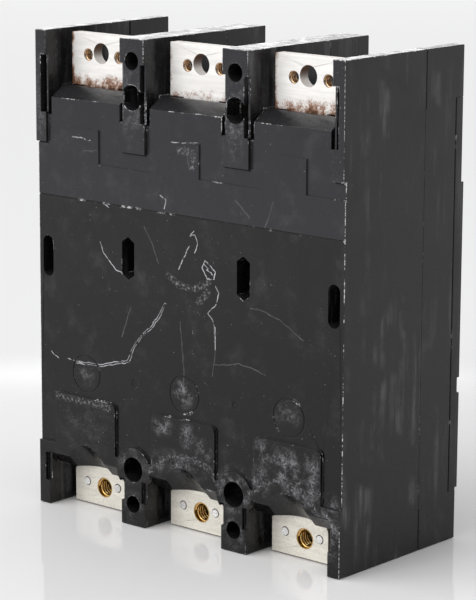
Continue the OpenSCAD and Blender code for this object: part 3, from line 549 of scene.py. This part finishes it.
paints = {
    "case_back": moulded("back_moulding", (0.0024, 0.0024, 0.0026), 0.25, 0.6, back_marks=True),
    "case_front": moulded("front_moulding", (0.0026, 0.0025, 0.0025), 0.27, 0.35),
    "front_plate": moulded("plate_moulding", (0.0040, 0.0039, 0.0040), 0.36, 0.2),
    "line_plating": plated("line_tin", (0.985, 0.96, 0.93), (0.26, 0.10, 0.035), bar_high.z - BAR_SHOWN),
    "load_plating": plated("load_tin", (0.98, 0.94, 0.84), (0.40, 0.37, 0.29)),
    "insert_brass": metal("insert_brass", (0.88, 0.62, 0.26), 0.2),
    "tap_brass": metal("tap_brass", (0.80, 0.55, 0.33), 0.3, (1, 0.3, 1), (0.30, 0.15, 0.07)),
    "thread_brass": metal("thread_brass", (0.72, 0.46, 0.16), 0.25, (1, 0.3, 1), (0.30, 0.17, 0.06)),
    "rivet_tin": metal("rivet_tin", (0.97, 0.97, 0.95), 0.3, EVEN, (0.6, 0.56, 0.5), 0.5),
    "contact_silver": metal("contact_silver", (0.82, 0.81, 0.79), 0.35, EVEN, (0.35, 0.33, 0.3)),
    "arm_copper": metal("arm_copper", (0.72, 0.36, 0.22), 0.3, (1, 1, 0.15), (0.35, 0.16, 0.1)),
    "shunt_copper": metal("shunt_copper", (0.62, 0.29, 0.17), 0.4, (0.4, 0.4, 1)),
    "crossbar_moulding": plain_moulding("crossbar_moulding", (0.075, 0.045, 0.028)),
    "mechanism_steel": metal("mechanism_steel", (0.56, 0.55, 0.50), 0.32, (1, 0.4, 0.4), (0.38, 0.33, 0.24)),
    "arc_steel": metal("arc_steel", (0.42, 0.43, 0.45), 0.38, (0.3, 1, 1), (0.2, 0.16, 0.13)),
    "arc_fibre": plain_moulding("arc_fibre", (0.33, 0.08, 0.05), 0.6),
    "handle_moulding": plain_moulding("handle_moulding", (0.016, 0.016, 0.017), 0.36),
    "spring_steel": metal("spring_steel", (0.55, 0.55, 0.56), 0.25),
    "trip_moulding": plain_moulding("trip_moulding", (0.26, 0.03, 0.02), 0.5),
    "button_red": plain_moulding("button_red", (0.42, 0.02, 0.014), 0.25),
    "magnet_steel": metal("magnet_steel", (0.38, 0.39, 0.41), 0.35, (1, 1, 0.3), (0.24, 0.2, 0.15)),
    "bimetal_strip": metal("bimetal_strip", (0.66, 0.62, 0.54), 0.3, (1, 1, 0.2)),
    "dial_moulding": plain_moulding("dial_moulding", (0.52, 0.50, 0.44), 0.4),
    "screw_steel": metal("screw_steel", (0.58, 0.57, 0.53), 0.28, EVEN, (0.3, 0.26, 0.2)),
    "nut_brass": metal("nut_brass", (0.60, 0.44, 0.18), 0.3),
}
edges = {
    "case_back": worn_edge("back_worn_edge", (0.012, 0.012, 0.0125), 0.9, sides=0.85, line_end=0.45),
    "case_front": worn_edge("front_worn_edge", (0.009, 0.009, 0.009), 0.4, sides=0.4),
    "front_plate": worn_edge("plate_worn_edge", (0.010, 0.010, 0.010), 0.4, sides=0.4),
}
slot_of = {part["node"]: part["material_slot"] for part in frame["record"]["subparts"]}
for name, part in nodes.items():
    part.data.materials.clear()
    part.data.materials.append(paints[slot_of[name]])

# ---- Pieces with rounded edges, in place of the sharp CAD ones ----

MERGE_DISTANCE = 2e-6
FLAT_ANGLE = math.radians(0.6)
SHARP_ANGLE = math.radians(40)
SMOOTH_ANGLE = math.radians(35)


def rounded(node, width_mm):
    """A copy of a CAD node, merged, with every edge rounded and, on the case mouldings, the rounding in its
    own finish.
    """
    source = nodes[node]
    slot = slot_of[node]
    clear_selection()
    source.select_set(True)
    bpy.context.view_layer.objects.active = source
    bpy.ops.object.duplicate()
    piece = bpy.context.active_object
    bpy.ops.object.parent_clear(type="CLEAR_KEEP_TRANSFORM")
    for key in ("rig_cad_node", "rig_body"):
        del piece[key]
    piece.name = node + ("_moulded" if slot in edges else "_finished")
    piece.data.name = piece.name
    if slot in edges:
        piece.data.materials.append(edges[slot])
    bpy.ops.object.mode_set(mode="EDIT")
    bpy.ops.mesh.select_all(action="SELECT")
    bpy.ops.mesh.remove_doubles(threshold=MERGE_DISTANCE)
    bpy.ops.mesh.dissolve_limited(angle_limit=FLAT_ANGLE, delimit={"NORMAL"})
    bpy.ops.mesh.customdata_custom_splitnormals_clear()
    bpy.ops.object.mode_set(mode="OBJECT")
    # Faces with many corners are split first, as the rounding bends them
    split = piece.modifiers.new("split", "TRIANGULATE")
    split.min_vertices = 5
    bpy.ops.object.modifier_apply(modifier=split.name)
    bevel = piece.modifiers.new("rounding", "BEVEL")
    bevel.width = width_mm * MM
    bevel.segments = 2
    bevel.limit_method = "ANGLE"
    bevel.angle_limit = SHARP_ANGLE
    bevel.use_clamp_overlap = False
    bevel.miter_outer = "MITER_SHARP"
    bevel.harden_normals = False
    bevel.material = 1 if slot in edges else -1
    bpy.ops.object.modifier_apply(modifier=bevel.name)
    bpy.ops.object.shade_smooth_by_angle(angle=SMOOTH_ANGLE)
    even = piece.modifiers.new("even_normals", "WEIGHTED_NORMAL")
    even.keep_sharp = True
    bpy.ops.object.modifier_apply(modifier=even.name)
    body = source["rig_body"]
    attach(piece, body)
    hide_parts(node)


# Width of each piece's rounding, in mm
rounding = {"base": 0.3, "cover": 0.35, "accessory_cover": 0.3, "handle": 0.3, "trip_button": 0.25}
for name in pole_names:
    rounding["line_conductor_" + name] = 0.3
    rounding["load_conductor_" + name] = 0.3
    rounding["dial_" + name] = 0.2
for node, width in rounding.items():
    rounded(node, width)

# ---- Threads ----

CREST_SHARE = 0.6
STEPS_PER_TURN = 40


def thread(name, place, length, size, beside, finish):
    """An internal thread wound along a hole that runs towards the front from its place."""
    radius, pitch = size
    crest = pitch * CREST_SHARE
    clear_selection()
    bpy.ops.mesh.primitive_circle_add(
        vertices=3, radius=crest, location=(radius, 0, 0), rotation=(math.pi / 2, -math.pi / 2, 0)
    )
    piece = bpy.context.active_object
    bpy.ops.object.transform_apply(location=True, rotation=True)
    wind = piece.modifiers.new("wind", "SCREW")
    wind.axis = "Z"
    wind.screw_offset = pitch
    wind.iterations = int((length - 2 * crest) / pitch)
    wind.steps = wind.render_steps = STEPS_PER_TURN
    bpy.ops.object.modifier_apply(modifier=wind.name)
    bpy.ops.object.mode_set(mode="EDIT")
    bpy.ops.mesh.select_all(action="SELECT")
    bpy.ops.mesh.remove_doubles(threshold=1e-7)
    bpy.ops.mesh.fill_holes(sides=3)
    bpy.ops.mesh.select_all(action="SELECT")
    bpy.ops.mesh.normals_make_consistent(inside=False)
    bpy.ops.object.mode_set(mode="OBJECT")
    piece.rotation_euler = (math.pi / 2, 0, 0)
    piece.location = place - Vector((0, crest, 0))
    bpy.ops.object.transform_apply(location=True, rotation=True)
    piece.name = piece.data.name = name
    piece.data.materials.append(finish)
    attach(piece, nodes[beside]["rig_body"])


# Radius and pitch of the two threads
TAP_THREAD = (3.15 * MM, 1.4 * MM)
INSERT_THREAD = (4.9 * MM, 1.7 * MM)
# Places of the two tapped holes of a line bar, from its pole's middle and its upper end
TAP_ACROSS = {"a": 9.3 * MM, "b": -12.6 * MM}
TAP_DROP = 11.3 * MM

insert_low, insert_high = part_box("load_inserts")
insert_z = (insert_low.z + insert_high.z) / 2
tap_z = bar_high.z - TAP_DROP
for name, middle in pole_x.items():
    for side, across in TAP_ACROSS.items():
        place = Vector((middle + across, bar_high.y, tap_z))
        thread(f"tap_thread_{name}_{side}", place, bar_high.y - bar_low.y, TAP_THREAD,
               "line_conductor_" + name, paints["tap_brass"])
    place = Vector((middle, insert_high.y, insert_z))
    thread("insert_thread_" + name, place, insert_high.y - insert_low.y, INSERT_THREAD,
           "load_inserts", paints["insert_brass"])
